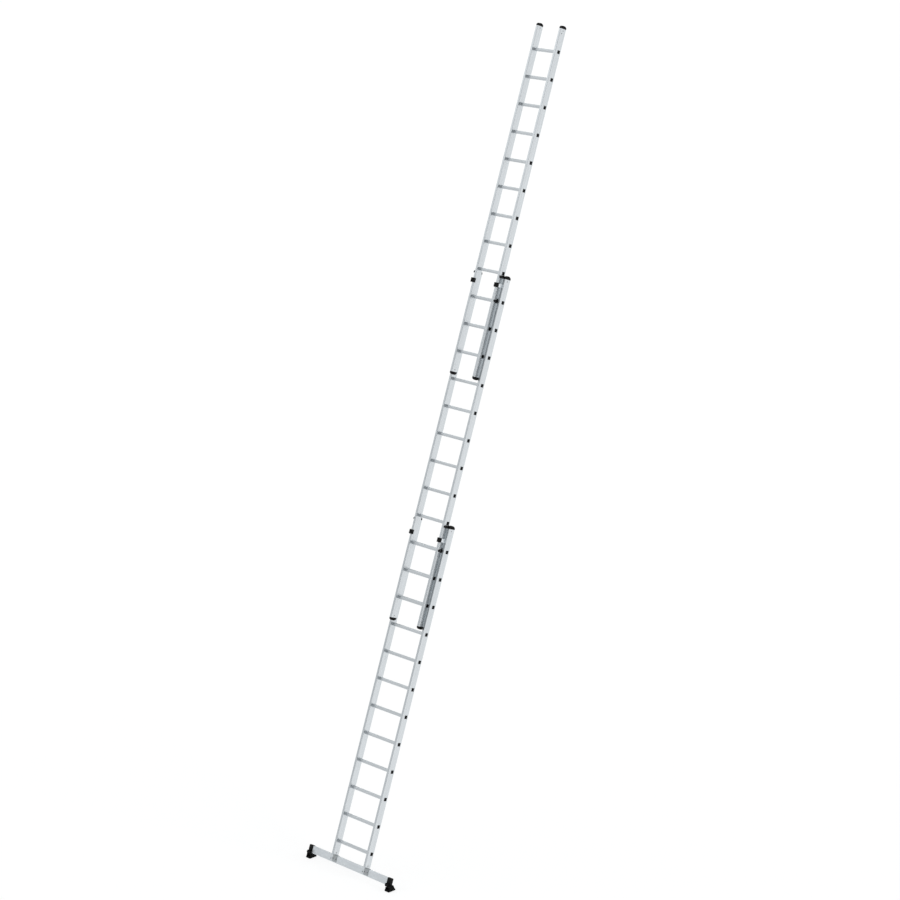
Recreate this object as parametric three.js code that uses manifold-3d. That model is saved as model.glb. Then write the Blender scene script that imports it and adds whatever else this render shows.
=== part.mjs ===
// Three-section aluminium extension ladder, standing at its working lean, fully extended.
//
// Millimetres, +Z up. The origin lies on the floor, midway between the two feet and right
// under their tilt axes. The climber stands on the -Y side, the wall is on the +Y side,
// and +X is the climber's right.
//
// Every section is drawn in its own upright frame: X across, Y from the climber's side to
// the wall, Z up the stringers, with the axis of the section's first rung on X.

import * as THREE from 'three';
import Module from 'manifold-3d';
import { mergeVertices } from 'three/addons/utils/BufferGeometryUtils.js';

const wasm = await Module();
wasm.setup();

// ---------------------------------------------------------------- driving dimensions

const LEAN_ANGLE = 70; // degrees between the stringers and the floor
const CLEARANCE = 0.3; // gap between pieces that touch
const PIN_PLAY = 0.4; // gap round a pin in its hole
const BITE = 1; // how far shapes that are joined run into each other

// Sections, from the bottom one at the back to the top one at the front.
const SECTION_NAMES = ['bottom', 'middle', 'top'];
const LADDER_WIDTH = 490; // over the outer faces of the bottom section's stringers
const SLIDE_GAPS = [10, 15]; // fixed stringer to the sliding one inside it
const RUNG_GAP = 7.5; // rungs to the stringers that slide in front of them
const RUNG_COUNT = 12;
const RUNG_PITCH = 280;
const OVERLAP_RUNGS = 3; // rungs that two extended sections share
const TOP_OVERHANG = 232; // stringer above the last rung's axis
const BOTTOM_OVERHANG = 212; // stringer below the first rung's axis, sliding sections
const BASE_OVERHANG = 146; // first rung's axis of the bottom section to the traverse

const STRINGER_THICKNESS = 25;
const STRINGER_DEPTH = 79;
const STRINGER_WALL = 2;
const STRINGER_CORNER = 3;
const STRINGER_FRONT = 49.5; // rung axis to the stringer's front face

const RUNG_SIZE = 30;
const RUNG_WALL = 1.8;
const RUNG_CORNER = 2.5;

// Traverse: the wide foot bar with one pressed saddle under each stringer.
const TRAVERSE_LENGTH = 1200; // over both foot holders
const TRAVERSE_HEIGHT = 75;
const TRAVERSE_DEPTH = 25;
const TRAVERSE_WALL = 2.5;
const TRAVERSE_FRONT = 16; // rung axis to the bar's front face
const SADDLE_SHEET = 3;
const SADDLE_WIDTH = 62;
const SADDLE_LIFT = 8; // saddle's lower edges above the bar's
const SADDLE_SHIFT = 13.5; // saddle centre to stringer centre, towards +X
const SADDLE_TAB_LENGTH = 28;
const SADDLE_TAB_HEIGHT = 24;
const SADDLE_TAB_DROP = 8; // tab's centre below the bar's
const SADDLE_TONGUE_HEIGHT = 60; // part of the saddle that stands inside the stringer

// Feet.
const HOLDER_LENGTH = 50; // along the traverse
const HOLDER_WALL = 4;
const HOLDER_LUG_RADIUS = 12; // lug that hangs between the sole's cheeks
const HOLDER_BOSS_RADIUS = 18;
const HOLDER_BOSS_LENGTH = 26;
const HOLDER_BOSS_HEIGHT = 8; // boss axis above the bar's lower edge
const PIVOT_DROP = 15; // holder's lower face to the tilt axis
const PIVOT_BACK = 8; // bar's centre plane to the tilt axis, towards the wall
const PIVOT_PIN_RADIUS = 5;
const PIVOT_HEIGHT = 32; // tilt axis above the floor
const SOLE_FRONT = 36; // tilt axis to the sole's front end
const SOLE_REAR = 54;
const SOLE_OUTSIDE = 10; // sole beyond the holder's closed end
const SOLE_THICKNESS = 18;
const SOLE_BEVEL = 7;
const CHEEK_THICKNESS = 9; // inner cheek, below the holder
const CHEEK_RADIUS = 12; // round the tilt axis
const CHEEK_RISE = 4; // shoulders above the tilt axis
const CHEEK_FRONT = 25; // tilt axis to the front shoulder
const CHEEK_REAR = 33;
const SIDE_PLATE_RISE = 27; // outer cheek, beside the holder's closed end
const SIDE_PLATE_FRONT = 18;
const SIDE_PLATE_REAR = 27;
const TREAD_GROOVES = 4;
const TREAD_GROOVE_WIDTH = 4;
const TREAD_GROOVE_DEPTH = 2.5;

// Guides that hold a sliding section against the one behind it.
const CAP_RISE = 34; // domed cap on top of a stringer
const CAP_SIDE = 5; // straight part of the cap's edge
const CAP_PLUG_DEPTH = 22; // part of the cap inside the stringer
const CAP_ARM_LENGTH = 40; // forward reach beside the sliding stringer
const CAP_ARM_HEIGHT = 26;
const CAP_ARM_OVERLAP = 11; // how far the arm runs across the cap it grows from
const GUIDE_HEIGHTS = [104, 157]; // guide centre above the last rung's axis
const GUIDE_SHOE_HEIGHT = 45;
const GUIDE_SHOE_FRONT = 12; // shoe's wall in front of the sliding stringer
const GUIDE_SHOE_INSIDE = 6; // shoe's wall on the inner side of the sliding stringer
const GUIDE_SHOE_REACH = 12; // how far the shoe's side walls reach back
const GUIDE_ARM_THICKNESS = 4;
const GUIDE_ARM_HEIGHT = 36;
const GUIDE_ARM_SEAT = 42; // length of arm that lies on the fixed stringer
const GUIDE_RUNNING = 0.6; // running clearance round the sliding stringer
const PLUG_SPACE = 3.5; // room left for the rung plugs on a sliding stringer

// Locking hooks of the sliding sections.
const HOOK_RUNG = 3; // rung, counted from below, that carries the hooks
const HOOK_PIVOT = 22; // stringer's front face to the hook's pivot
const HOOK_OFFSET = 2.8; // stringer's outer face to the hook plate
const HOOK_PLATE = 3.5;
const HOOK_HEAD = 1.5;
const HOOK_HEAD_RADIUS = 8;
const HOOK_PIN_RADIUS = 4;
const HOOK_PIN_DEPTH = 6; // pin behind the stringer's wall
const HOOK_BOSS_RADIUS = 13;
const HOOK_REST = 22; // how far the nose lies over the rung behind
const HOOK_NOSE = 14; // height of the nose
const HOOK_HEEL_GAP = 6; // heel to the rung behind
const HOOK_PAD_START = 17; // pivot to the thumb pad, towards the nose
const HOOK_PAD_DEPTH = 22; // along the stringer's depth
const HOOK_PAD_HEIGHT = 24;
const HOOK_PAD_CORNER = 4;
const HOOK_PAD_REACH = 9.2; // pad's far face to the sliding stringer's outer face

// ---------------------------------------------------------------- derived places

const SECTION_WIDTHS = SLIDE_GAPS.reduce(
  (widths, gap) => [...widths, widths.at(-1) - 2 * (STRINGER_THICKNESS + gap)], [LADDER_WIDTH]);
const SECTION_SPACING = STRINGER_DEPTH - STRINGER_FRONT + RUNG_SIZE / 2 + RUNG_GAP;
const STAGE_STEP = (RUNG_COUNT - OVERLAP_RUNGS) * RUNG_PITCH;
const LAST_RUNG = (RUNG_COUNT - 1) * RUNG_PITCH;
const TRAVERSE_CENTRE_Y = TRAVERSE_DEPTH / 2 - TRAVERSE_FRONT;
const TRAVERSE_TOP = -BASE_OVERHANG;
const TRAVERSE_CENTRE_Z = TRAVERSE_TOP - TRAVERSE_HEIGHT / 2;
const PIVOT_Y = TRAVERSE_CENTRE_Y + PIVOT_BACK;
const PIVOT_Z = TRAVERSE_TOP - TRAVERSE_HEIGHT - HOLDER_WALL - PIVOT_DROP;
const FOOT_CENTRE_X = TRAVERSE_LENGTH / 2 - HOLDER_LENGTH / 2;
const STRINGER_CENTRE_Y = STRINGER_DEPTH / 2 - STRINGER_FRONT;

// ---------------------------------------------------------------- materials

const aluminium = { color: 0xc9ccce, roughness: 0.38, metalness: 0.85 };
const darkSteel = { color: 0x7d8186, roughness: 0.45, metalness: 0.8 };
const blackPlastic = { color: 0x17181a, roughness: 0.55, metalness: 0 };
const rubber = { color: 0x101010, roughness: 0.85, metalness: 0 };

// ---------------------------------------------------------------- shape helpers

function rectangle(x0, y0, x1, y1) {
  const shape = new THREE.Shape();
  shape.moveTo(x0, y0);
  shape.lineTo(x1, y0);
  shape.lineTo(x1, y1);
  shape.lineTo(x0, y1);
  shape.closePath();
  return shape;
}

// A rectangle about (cx, cy) whose corners are arcs.
function roundedRectangle(cx, cy, width, height, radius) {
  const right = width / 2 - radius;
  const top = height / 2 - radius;
  const shape = new THREE.Shape();
  shape.absarc(cx + right, cy + top, radius, 0, Math.PI / 2);
  shape.absarc(cx - right, cy + top, radius, Math.PI / 2, Math.PI);
  shape.absarc(cx - right, cy - top, radius, Math.PI, Math.PI * 1.5);
  shape.absarc(cx + right, cy - top, radius, Math.PI * 1.5, Math.PI * 2);
  shape.closePath();
  return shape;
}

function polygon(points) {
  return new THREE.Shape(points.map(([x, y]) => new THREE.Vector2(x, y)));
}

// Extrudes an (X, Y) shape up Z from z0 to z1.
function extrudeUp(shape, z0, z1, curveSegments = 4) {
  const geometry = new THREE.ExtrudeGeometry(shape, {
    depth: z1 - z0, bevelEnabled: false, curveSegments, steps: 1,
  });
  return geometry.translate(0, 0, z0);
}

// Extrudes a (Y, Z) shape along X from x0 to x1.
function extrudeAcross(shape, x0, x1, curveSegments = 4) {
  const turn = new THREE.Matrix4().set(0, 0, 1, 0, 1, 0, 0, 0, 0, 1, 0, 0, 0, 0, 0, 1);
  return extrudeUp(shape, x0, x1, curveSegments).applyMatrix4(turn);
}

function box(x0, y0, z0, x1, y1, z1) {
  return extrudeUp(rectangle(x0, y0, x1, y1), z0, z1);
}

// A round bar along X or Y through (0, 0), from a to b on its own axis.
function rod(axis, radius, a, b, sides = 16) {
  const geometry = new THREE.CylinderGeometry(radius, radius, Math.abs(b - a), sides);
  geometry.translate(0, (a + b) / 2, 0);
  return axis === 'x' ? geometry.rotateZ(-Math.PI / 2) : geometry;
}

// The span from a to b outwards from the middle, on the left (-1) or the right (1).
function sidedSpan(side, a, b) {
  return [Math.min(side * a, side * b), Math.max(side * a, side * b)];
}

function solidOf(geometry) {
  const bare = new THREE.BufferGeometry();
  bare.setAttribute('position', geometry.getAttribute('position'));
  bare.setIndex(geometry.getIndex());
  const merged = mergeVertices(bare, 1e-4);
  return new wasm.Manifold(new wasm.Mesh({
    numProp: 3,
    vertProperties: new Float32Array(merged.getAttribute('position').array),
    triVerts: new Uint32Array(merged.getIndex().array),
  }));
}

function geometryOf(solid) {
  const { vertProperties, triVerts } = solid.getMesh();
  const geometry = new THREE.BufferGeometry();
  geometry.setAttribute('position', new THREE.BufferAttribute(vertProperties, 3));
  geometry.setIndex(new THREE.BufferAttribute(triVerts, 1));
  const flat = geometry.toNonIndexed();
  flat.computeVertexNormals();
  return flat;
}

function join(...geometries) {
  const whole = geometries.map(solidOf).reduce((sum, solid) => sum.add(solid));
  return geometryOf(whole);
}

function cut(geometry, ...tools) {
  return geometryOf(tools.reduce((rest, tool) => rest.subtract(solidOf(tool)), solidOf(geometry)));
}

function makeMesh(name, geometry, look) {
  const mesh = new THREE.Mesh(geometry, new THREE.MeshStandardMaterial(look));
  mesh.name = name;
  return mesh;
}

// ---------------------------------------------------------------- stringers and rungs

const sides = [['left', -1], ['right', 1]];

function stringerCentre(section, side) {
  return side * (SECTION_WIDTHS[section] - STRINGER_THICKNESS) / 2;
}

// Box section with a hole through both walls for each rung. A sliding section also has
// the hole for its hook's pivot in the outer wall.
function stringerGeometry(section, side) {
  const bottom = section === 0 ? SADDLE_SHEET + CLEARANCE - BASE_OVERHANG : -BOTTOM_OVERHANG;
  const profile = roundedRectangle(
    0, STRINGER_CENTRE_Y, STRINGER_THICKNESS, STRINGER_DEPTH, STRINGER_CORNER);
  const halfInside = STRINGER_THICKNESS / 2 - STRINGER_WALL;
  const inside = STRINGER_DEPTH / 2 - STRINGER_WALL;
  profile.holes.push(rectangle(
    -halfInside, STRINGER_CENTRE_Y - inside, halfInside, STRINGER_CENTRE_Y + inside));
  const tube = extrudeUp(profile, bottom, LAST_RUNG + TOP_OVERHANG, 2);
  const half = RUNG_SIZE / 2 + CLEARANCE;
  const tools = [];
  for (let i = 0; i < RUNG_COUNT; i += 1) {
    const z = i * RUNG_PITCH;
    tools.push(box(-STRINGER_THICKNESS, -half, z - half, STRINGER_THICKNESS, half, z + half));
  }
  if (section > 0) {
    const pivotHole = rod('x', HOOK_PIN_RADIUS + PIN_PLAY, 0, side * STRINGER_THICKNESS);
    pivotHole.translate(0, HOOK_PIVOT - STRINGER_FRONT, (HOOK_RUNG - 1) * RUNG_PITCH);
    tools.push(pivotHole);
  }
  return cut(tube, ...tools);
}

// Square tube that ends just inside the outer faces of the stringers.
function rungGeometry(section) {
  const profile = roundedRectangle(0, 0, RUNG_SIZE, RUNG_SIZE, RUNG_CORNER);
  const inside = RUNG_SIZE / 2 - RUNG_WALL;
  profile.holes.push(rectangle(-inside, -inside, inside, inside));
  const end = SECTION_WIDTHS[section] / 2 - CLEARANCE;
  return extrudeAcross(profile, -end, end, 1);
}

// ---------------------------------------------------------------- traverse and feet

// The saddle's outline round the bar, open at the bottom, and its front tab and tongue.
function saddleParts(centre) {
  const front = TRAVERSE_CENTRE_Y - TRAVERSE_DEPTH / 2;
  const rear = TRAVERSE_CENTRE_Y + TRAVERSE_DEPTH / 2;
  const bottom = TRAVERSE_TOP - TRAVERSE_HEIGHT;
  const sheet = SADDLE_SHEET;
  const x0 = centre + SADDLE_SHIFT - SADDLE_WIDTH / 2;
  const x1 = x0 + SADDLE_WIDTH;
  const middle = TRAVERSE_CENTRE_Z - SADDLE_TAB_DROP;
  const halfTab = SADDLE_TAB_HEIGHT / 2;
  const tongueX = STRINGER_THICKNESS / 2 - STRINGER_WALL - CLEARANCE;
  const tongueY = TRAVERSE_DEPTH / 2;
  return [
    box(x0, front - sheet, bottom + SADDLE_LIFT, x1, rear + sheet, TRAVERSE_TOP + sheet),
    box(x0 - SADDLE_TAB_LENGTH, front - sheet, middle - halfTab,
      x0 + sheet, front + sheet / 2, middle + halfTab),
    box(centre - tongueX, TRAVERSE_CENTRE_Y - tongueY, TRAVERSE_TOP,
      centre + tongueX, TRAVERSE_CENTRE_Y + tongueY, TRAVERSE_TOP + SADDLE_TONGUE_HEIGHT),
  ];
}

// Rectangular tube with the two saddles welded on.
function traverseGeometry() {
  const end = TRAVERSE_LENGTH / 2 - HOLDER_WALL - CLEARANCE;
  const outer = roundedRectangle(
    TRAVERSE_CENTRE_Y, TRAVERSE_CENTRE_Z, TRAVERSE_DEPTH, TRAVERSE_HEIGHT, STRINGER_CORNER);
  const bar = extrudeAcross(outer, -end, end, 2);
  const saddles = sides.flatMap(([, side]) => saddleParts(stringerCentre(0, side)));
  const halfDepth = TRAVERSE_DEPTH / 2 - TRAVERSE_WALL;
  const halfHeight = TRAVERSE_HEIGHT / 2 - TRAVERSE_WALL;
  const bore = box(
    -TRAVERSE_LENGTH, TRAVERSE_CENTRE_Y - halfDepth, TRAVERSE_CENTRE_Z - halfHeight,
    TRAVERSE_LENGTH, TRAVERSE_CENTRE_Y + halfDepth, TRAVERSE_CENTRE_Z + halfHeight);
  return cut(join(bar, ...saddles), bore);
}

// Sleeve on the bar's end with the lug and the pin of the tilt hinge and a front boss.
// Its frame has x = 0 in the middle of the sleeve.
function footHolderGeometry(side) {
  const half = HOLDER_LENGTH / 2;
  const wall = HOLDER_WALL;
  const y0 = TRAVERSE_CENTRE_Y - TRAVERSE_DEPTH / 2 - wall;
  const y1 = TRAVERSE_CENTRE_Y + TRAVERSE_DEPTH / 2 + wall;
  const z0 = TRAVERSE_TOP - TRAVERSE_HEIGHT - wall;
  const z1 = TRAVERSE_TOP + wall;
  const sleeve = extrudeAcross(roundedRectangle(
    (y0 + y1) / 2, (z0 + z1) / 2, y1 - y0, z1 - z0, STRINGER_CORNER + wall), -half, half, 3);
  const socket = extrudeAcross(roundedRectangle(
    TRAVERSE_CENTRE_Y, TRAVERSE_CENTRE_Z, TRAVERSE_DEPTH + 2 * CLEARANCE,
    TRAVERSE_HEIGHT + 2 * CLEARANCE, STRINGER_CORNER), 0, HOLDER_LENGTH, 2);
  socket.translate(side > 0 ? -half - wall : wall - half, 0, 0);

  const lug = new THREE.Shape();
  lug.moveTo(y0 + 2 * wall, z0 + 2 * wall);
  lug.lineTo(PIVOT_Y - HOLDER_LUG_RADIUS, PIVOT_Z);
  lug.absarc(PIVOT_Y, PIVOT_Z, HOLDER_LUG_RADIUS, Math.PI, Math.PI * 2);
  lug.lineTo(PIVOT_Y + HOLDER_LUG_RADIUS, z0 + 2 * wall);
  lug.closePath();
  const lugSpan = sidedSpan(side, CHEEK_THICKNESS + 2 * CLEARANCE - half, half);
  const pin = rod(
    'x', PIVOT_PIN_RADIUS, ...sidedSpan(side, BITE - half, half + SOLE_OUTSIDE - BITE));
  pin.translate(0, PIVOT_Y, PIVOT_Z);

  const boss = rod('y', HOLDER_BOSS_RADIUS, -HOLDER_BOSS_LENGTH, wall / 2, 24);
  boss.translate(0, y0, TRAVERSE_TOP - TRAVERSE_HEIGHT + HOLDER_BOSS_HEIGHT);

  return cut(join(sleeve, extrudeAcross(lug, ...lugSpan, 6), pin, boss), socket);
}

// Rubber sole: a bevelled pad with tread grooves, a low cheek below the holder and a tall
// side plate beside the holder's closed end, which both hang on the pin. Its frame has the
// tilt axis on X and the floor PIVOT_HEIGHT below it.
function footSoleGeometry(side) {
  const floor = -PIVOT_HEIGHT;
  const top = floor + SOLE_THICKNESS;
  const half = HOLDER_LENGTH / 2;
  const pad = extrudeAcross(polygon([
    [-SOLE_FRONT, floor], [SOLE_REAR, floor], [SOLE_REAR, top - SOLE_BEVEL],
    [SOLE_REAR - SOLE_BEVEL, top], [SOLE_BEVEL - SOLE_FRONT, top],
    [-SOLE_FRONT, top - SOLE_BEVEL],
  ]), ...sidedSpan(side, -half, half + SOLE_OUTSIDE));

  const root = [[SOLE_BEVEL - SOLE_FRONT, top - BITE], [SOLE_REAR - SOLE_BEVEL, top - BITE]];
  const cheekSpan = sidedSpan(side, -half, CHEEK_THICKNESS - half);
  const cheek = extrudeAcross(
    polygon([...root, [CHEEK_REAR, CHEEK_RISE], [-CHEEK_FRONT, CHEEK_RISE]]), ...cheekSpan);
  const eye = rod('x', CHEEK_RADIUS, ...cheekSpan, 32);
  const sidePlate = extrudeAcross(
    polygon([...root, [SIDE_PLATE_REAR, SIDE_PLATE_RISE], [-SIDE_PLATE_FRONT, SIDE_PLATE_RISE]]),
    ...sidedSpan(side, half + 2 * CLEARANCE, half + SOLE_OUTSIDE));
  const bore = rod('x', PIVOT_PIN_RADIUS + PIN_PLAY, -HOLDER_LENGTH, HOLDER_LENGTH);

  const length = SOLE_FRONT + SOLE_REAR;
  const grooves = [];
  for (let i = 0; i < TREAD_GROOVES; i += 1) {
    const y = (i + 1) * length / (TREAD_GROOVES + 1) - SOLE_FRONT;
    const halfGroove = TREAD_GROOVE_WIDTH / 2;
    grooves.push(box(
      -HOLDER_LENGTH, y - halfGroove, floor - BITE,
      HOLDER_LENGTH, y + halfGroove, floor + TREAD_GROOVE_DEPTH));
  }
  return cut(join(pad, cheek, eye, sidePlate), bore, ...grooves);
}

// ---------------------------------------------------------------- guides

// Domed outline in (Y, Z) that rises from z = 0 between y0 and y1.
function domeShape(y0, y1, edge, rise) {
  const centre = (y0 + y1) / 2;
  const shape = new THREE.Shape();
  shape.moveTo(y0, 0);
  shape.lineTo(y1, 0);
  shape.lineTo(y1, edge);
  shape.absellipse(centre, edge, (y1 - y0) / 2, rise - edge, 0, Math.PI, false, 0);
  shape.closePath();
  return shape;
}

// Cap on a fixed stringer's top end, with an arm that reaches forward beside the sliding
// stringer. Its frame has the end of the fixed stringer at z = 0 and x = 0 in the middle
// of the stringer, as seen on the right-hand side.
function guideCapGeometry(section, side) {
  const half = STRINGER_THICKNESS / 2;
  const front = -STRINGER_FRONT;
  const rear = front + STRINGER_DEPTH;
  const cap = extrudeAcross(domeShape(front, rear, CAP_SIDE, CAP_RISE), -half, half, 12);
  const plugX = half - STRINGER_WALL - CLEARANCE;
  const inset = STRINGER_WALL + CLEARANCE;
  const plug = box(-plugX, front + inset, -CAP_PLUG_DEPTH, plugX, rear - inset, BITE);

  const slidingFace = SECTION_WIDTHS[section + 1] / 2 - stringerCentre(section, 1);
  const armInner = side > 0 ? slidingFace + PLUG_SPACE : half - CAP_ARM_OVERLAP;
  const armOuter = side > 0 ? CAP_ARM_OVERLAP - half : -slidingFace - PLUG_SPACE;
  const arm = extrudeAcross(
    domeShape(front - CAP_ARM_LENGTH, front + CAP_ARM_OVERLAP, CAP_SIDE, CAP_ARM_HEIGHT),
    Math.min(armInner, armOuter), Math.max(armInner, armOuter), 8);
  return join(cap, plug, arm);
}

// Guide that wraps the sliding stringer's front edge: a plastic shoe on a metal arm that
// is riveted to the inner face of the fixed stringer. Right-hand outline in (X, Y) of the
// fixed section's frame.
function guideGeometry(section, side) {
  const slidingOuter = SECTION_WIDTHS[section + 1] / 2;
  const slidingInner = slidingOuter - STRINGER_THICKNESS;
  const fixedInner = SECTION_WIDTHS[section] / 2 - STRINGER_THICKNESS;
  const slidingFront = -STRINGER_FRONT - SECTION_SPACING;
  const armOuter = fixedInner - CLEARANCE;
  const shoeBack = slidingFront + GUIDE_SHOE_REACH;
  const sidedBox = (a, y0, b, y1, halfHeight) => {
    const [x0, x1] = sidedSpan(side, a, b);
    return box(x0, y0, -halfHeight, x1, y1, halfHeight);
  };

  const shoe = sidedBox(
    slidingInner - GUIDE_RUNNING - GUIDE_SHOE_INSIDE,
    slidingFront - GUIDE_RUNNING - GUIDE_SHOE_FRONT,
    armOuter, shoeBack, GUIDE_SHOE_HEIGHT / 2);
  const slot = sidedBox(
    slidingInner - GUIDE_RUNNING, slidingFront - GUIDE_RUNNING,
    slidingOuter + GUIDE_RUNNING, shoeBack + BITE, GUIDE_SHOE_HEIGHT);
  const arm = sidedBox(
    armOuter - GUIDE_ARM_THICKNESS, shoeBack - GUIDE_ARM_THICKNESS,
    armOuter, GUIDE_ARM_SEAT - STRINGER_FRONT, GUIDE_ARM_HEIGHT / 2);
  return join(cut(shoe, slot), arm);
}

// ---------------------------------------------------------------- locking hooks

// Plate that pivots on the sliding stringer's outer face. Its nose lies on a rung of the
// section behind and its pad, in front of the fixed stringer, lifts it off. The frame has
// the pivot on X, with x = 0 on the stringer's outer face and +X outwards.
function hookGeometry(side) {
  const rungFront = SECTION_SPACING + STRINGER_FRONT - HOOK_PIVOT - RUNG_SIZE / 2;
  const rungTop = RUNG_SIZE / 2 + CLEARANCE;
  const heel = rungFront - HOOK_HEEL_GAP;
  const tip = rungFront + HOOK_REST;
  const crown = rungTop + HOOK_NOSE;
  const outline = new THREE.Shape();
  outline.moveTo(0, -HOOK_BOSS_RADIUS);
  outline.lineTo(heel - HOOK_BOSS_RADIUS, -HOOK_BOSS_RADIUS);
  outline.lineTo(heel, -HOOK_HEEL_GAP);
  outline.lineTo(heel, rungTop);
  outline.lineTo(tip, rungTop);
  outline.lineTo(tip, crown - HOOK_HEEL_GAP);
  outline.lineTo(tip - HOOK_HEEL_GAP, crown);
  outline.lineTo(heel - HOOK_BOSS_RADIUS, crown);
  outline.lineTo(HOOK_BOSS_RADIUS, HOOK_BOSS_RADIUS);
  outline.lineTo(0, HOOK_BOSS_RADIUS);
  outline.absarc(0, 0, HOOK_BOSS_RADIUS, Math.PI / 2, Math.PI * 1.5);
  outline.closePath();
  const plateOuter = HOOK_OFFSET + HOOK_PLATE;
  const plate = extrudeAcross(outline, ...sidedSpan(side, HOOK_OFFSET, plateOuter), 8);
  const pin = rod('x', HOOK_PIN_RADIUS,
    ...sidedSpan(side, -STRINGER_WALL - HOOK_PIN_DEPTH, HOOK_OFFSET + HOOK_PLATE / 2));
  const head = rod(
    'x', HOOK_HEAD_RADIUS, ...sidedSpan(side, plateOuter - BITE, plateOuter + HOOK_HEAD));

  const padSpan = sidedSpan(side, plateOuter - BITE, HOOK_PAD_REACH);
  const padShape = roundedRectangle(
    HOOK_PAD_START + HOOK_PAD_DEPTH / 2, 0, HOOK_PAD_DEPTH, HOOK_PAD_HEIGHT, HOOK_PAD_CORNER);
  return join(plate, pin, head, extrudeAcross(padShape, ...padSpan, 3));
}

// ---------------------------------------------------------------- assembly

const ladder = new THREE.Group();

// The leaning frame turns about the feet's tilt axis.
const leaning = new THREE.Group();
leaning.position.z = PIVOT_HEIGHT;
leaning.rotation.x = THREE.MathUtils.degToRad(LEAN_ANGLE - 90);
ladder.add(leaning);

const place = (name, geometry, look, parent, x, y, z) => {
  const mesh = makeMesh(name, geometry, look);
  mesh.position.set(x, y, z);
  parent.add(mesh);
};

SECTION_NAMES.forEach((sectionName, section) => {
  const frame = new THREE.Group();
  frame.position.set(0, -PIVOT_Y - section * SECTION_SPACING, section * STAGE_STEP - PIVOT_Z);
  leaning.add(frame);

  for (const [sideName, side] of sides) {
    const name = `${sectionName}_${sideName}`;
    const x = stringerCentre(section, side);
    place(`${name}_stringer`, stringerGeometry(section, side), aluminium, frame, x, 0, 0);
    if (section < SECTION_NAMES.length - 1) {
      place(`${name}_guide_cap`, guideCapGeometry(section, side), blackPlastic, frame,
        x, 0, LAST_RUNG + TOP_OVERHANG + CLEARANCE);
      place(`${name}_guide`, guideGeometry(section, side), blackPlastic, frame,
        0, 0, LAST_RUNG + GUIDE_HEIGHTS[section]);
    }
    if (section > 0) {
      place(`${name}_hook`, hookGeometry(side), darkSteel, frame,
        side * SECTION_WIDTHS[section] / 2, HOOK_PIVOT - STRINGER_FRONT,
        (HOOK_RUNG - 1) * RUNG_PITCH);
    }
  }

  for (let i = 0; i < RUNG_COUNT; i += 1) {
    const number = String(i + 1).padStart(2, '0');
    place(`${sectionName}_rung_${number}`, rungGeometry(section), aluminium, frame,
      0, 0, i * RUNG_PITCH);
  }

  if (section === 0) {
    place('traverse', traverseGeometry(), aluminium, frame, 0, 0, 0);
    for (const [sideName, side] of sides) {
      place(`${sideName}_foot_holder`, footHolderGeometry(side), blackPlastic, frame,
        side * FOOT_CENTRE_X, 0, 0);
    }
  }
});

for (const [sideName, side] of sides) {
  place(`${sideName}_foot_sole`, footSoleGeometry(side), rubber, ladder,
    side * FOOT_CENTRE_X, 0, PIVOT_HEIGHT);
}

export default ladder;
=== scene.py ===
"""Looks for the three-section extension ladder. Metres, in the frame of the CAD model.

The ladder leans, so most pieces are drawn in the upright frame of their section: X across,
Y from the climber to the wall, Z up the stringers, with the first rung's axis on X.
section_matrix() then carries them into the row frame.
"""

import math

import bmesh
import bpy
from mathutils import Matrix, Vector


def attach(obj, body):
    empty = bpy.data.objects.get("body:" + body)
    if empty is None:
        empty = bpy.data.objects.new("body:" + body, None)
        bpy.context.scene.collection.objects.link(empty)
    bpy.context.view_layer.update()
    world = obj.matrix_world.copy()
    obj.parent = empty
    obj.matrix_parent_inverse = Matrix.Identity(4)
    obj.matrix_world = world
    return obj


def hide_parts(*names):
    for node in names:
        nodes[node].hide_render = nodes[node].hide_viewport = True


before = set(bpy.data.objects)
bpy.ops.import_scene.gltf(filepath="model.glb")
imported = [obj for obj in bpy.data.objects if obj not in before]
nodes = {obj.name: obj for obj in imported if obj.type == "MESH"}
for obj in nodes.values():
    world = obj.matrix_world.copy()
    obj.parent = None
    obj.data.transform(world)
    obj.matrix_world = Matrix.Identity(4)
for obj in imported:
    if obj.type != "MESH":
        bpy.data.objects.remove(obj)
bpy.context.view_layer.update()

# ---------------------------------------------------------------- dimensions of the ladder

LEAN = math.radians(20)  # stringers away from the vertical
SECTIONS = ["bottom", "middle", "top"]
WIDTHS = [0.490, 0.420, 0.340]
SPACING = 0.052  # from one section forward to the next
STAGE_STEP = 2.520  # from one section up to the next
PIVOT = Vector((0, 0.0045, -0.240))  # tilt axis of the feet, in the bottom section's frame
PIVOT_HEIGHT = 0.032
RUNGS = 12
PITCH = 0.280
LAST_RUNG = (RUNGS - 1) * PITCH
GAP = 0.0003  # between pieces that touch
SEAM = 0.0001  # between pieces that are fixed to each other
STRINGER_X = 0.025  # thickness
STRINGER_FRONT = -0.0495  # faces, from the rungs' axes
STRINGER_REAR = 0.0295
STRINGER_MID = (STRINGER_FRONT + STRINGER_REAR) / 2
STRINGER_WALL = 0.002
STRINGER_TOP = LAST_RUNG + 0.232
STRINGER_BOTTOM = -0.212  # sliding sections
BASE_BOTTOM = -0.1427  # bottom section, on its saddles
RUNG = 0.030
SIDES = [("left", -1), ("right", 1)]


def section_matrix(section):
    """From a section's own frame to the row frame."""
    shift = Vector((0, -section * SPACING, section * STAGE_STEP)) - PIVOT
    lean = Matrix.Rotation(-LEAN, 4, "X")
    return Matrix.Translation((0, 0, PIVOT_HEIGHT)) @ lean @ Matrix.Translation(shift)


# ---------------------------------------------------------------- mesh helpers


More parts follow.
